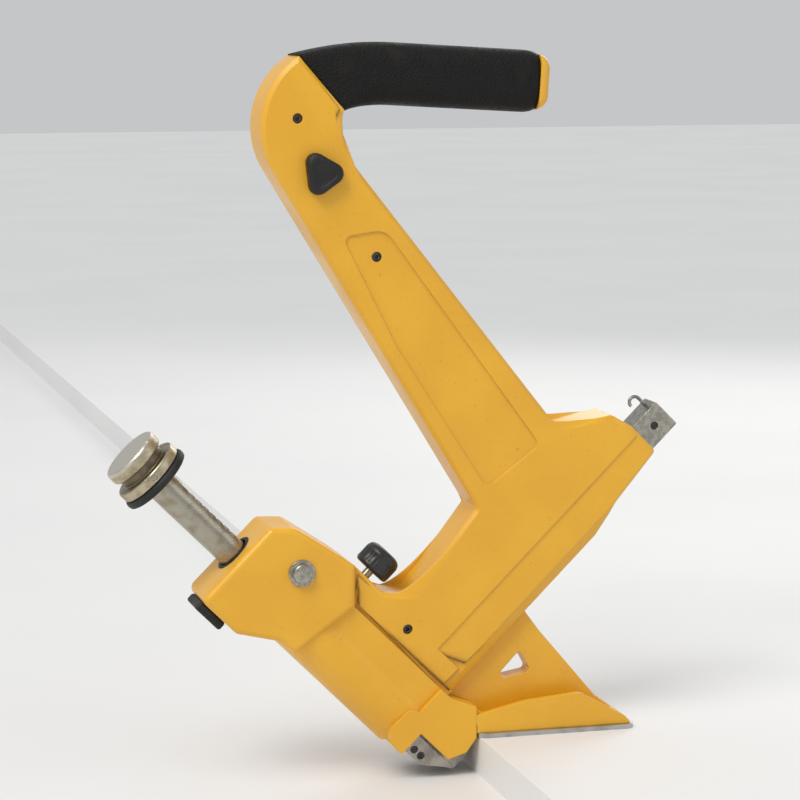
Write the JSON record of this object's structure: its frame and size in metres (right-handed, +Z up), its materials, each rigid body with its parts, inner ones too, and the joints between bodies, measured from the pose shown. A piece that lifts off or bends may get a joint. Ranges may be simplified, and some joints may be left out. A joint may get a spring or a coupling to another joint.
{
  "type": "flooring nailer",
  "caption": "Mallet-struck flooring nailer with a raised rubber handle, a ratcheting ram at 45 degrees, a magazine at right angles to it, and a flat sole.",
  "frame": {"origin": "centre of the sole plate's underside, which lies on the floor", "axes": "+Z up from the floor, +X to the tool's rear, along the handle; the ram axis lies in the plane y = 0"},
  "size_m": [0.3634, 0.061, 0.458],
  "materials": {
    "yellow_casting": "satin powder coat",
    "bare_steel": "ground steel",
    "polished_steel": "turned and polished steel",
    "black_rubber": "matte",
    "black_plastic": "satin",
    "bronze": "sintered bronze",
    "dark_steel": "black oxide"
  },
  "bodies": {
    "frame": {"frame_left": "yellow_casting", "frame_right": "yellow_casting", "arm_screws": "dark_steel", "tang_screws": "dark_steel", "rail_screws": "dark_steel", "housing_dowel": "bare_steel", "grip": "black_rubber", "grip_end_cap": "yellow_casting", "end_cap_screw": "dark_steel", "arm_bumper": "black_rubber", "drive_housing": "yellow_casting", "front_pad": "black_rubber", "front_pad_screws": "dark_steel", "upper_bush": "bronze", "wiper_ring": "black_rubber", "stroke_bumper": "black_rubber", "ram_spring": "bare_steel", "pawl_bolt": "bare_steel", "pawl_nut": "bare_steel", "pawl_spring": "bare_steel", "release_bush": "bronze", "magazine_rails": "bare_steel", "pusher_rod": "bare_steel", "pusher_spring": "bare_steel", "magazine_block": "bare_steel", "block_pin": "dark_steel", "latch_hook": "bare_steel", "nose_block": "yellow_casting", "nosepiece": "bare_steel", "nose_screws": "dark_steel", "base_foot": "yellow_casting", "sole_plate": "bare_steel", "sole_screws": "dark_steel"},
    "ram": {"ram_shaft": "bare_steel", "driver_blade": "bare_steel", "blade_pin": "bare_steel", "strike_head": "polished_steel", "ram_ring": "black_rubber", "strike_head_pin": "bare_steel"},
    "pawl": {"pawl": "dark_steel"},
    "release": {"release_stem": "bare_steel", "release_knob": "black_plastic"},
    "pusher": {"pusher": "dark_steel"}
  },
  "joints": [
    {"name": "ram_slide", "type": "slide", "parent": "frame", "child": "ram", "axis": [0.7071, 0, -0.7071], "range_m": [0, 0.06], "stiffness_N_per_m": 500, "springref_m": -0.03, "deforming": ["ram_spring"]},
    {"name": "release_slide", "type": "slide", "parent": "frame", "child": "release", "axis": [-0.7071, 0, -0.7071], "range_m": [0, 0.0045], "stiffness_N_per_m": 1200, "springref_m": -0.003},
    {"name": "pawl_hinge", "type": "hinge", "parent": "frame", "child": "pawl", "pos_m": [-0.16476, 0, 0.11133], "axis": [0, 1, 0], "range_deg": [0, 6.75], "deforming": ["pawl_spring"]},
    {"name": "pusher_slide", "type": "slide", "parent": "frame", "child": "pusher", "axis": [0.7071, 0, 0.7071], "range_m": [0, 0.138], "stiffness_N_per_m": 25, "springref_m": -0.1, "deforming": ["pusher_spring"]}
  ],
  "couplings": [
    {"joint": "pawl_hinge", "follows": "release_slide", "rad_per_m": 25.974}
  ]
}
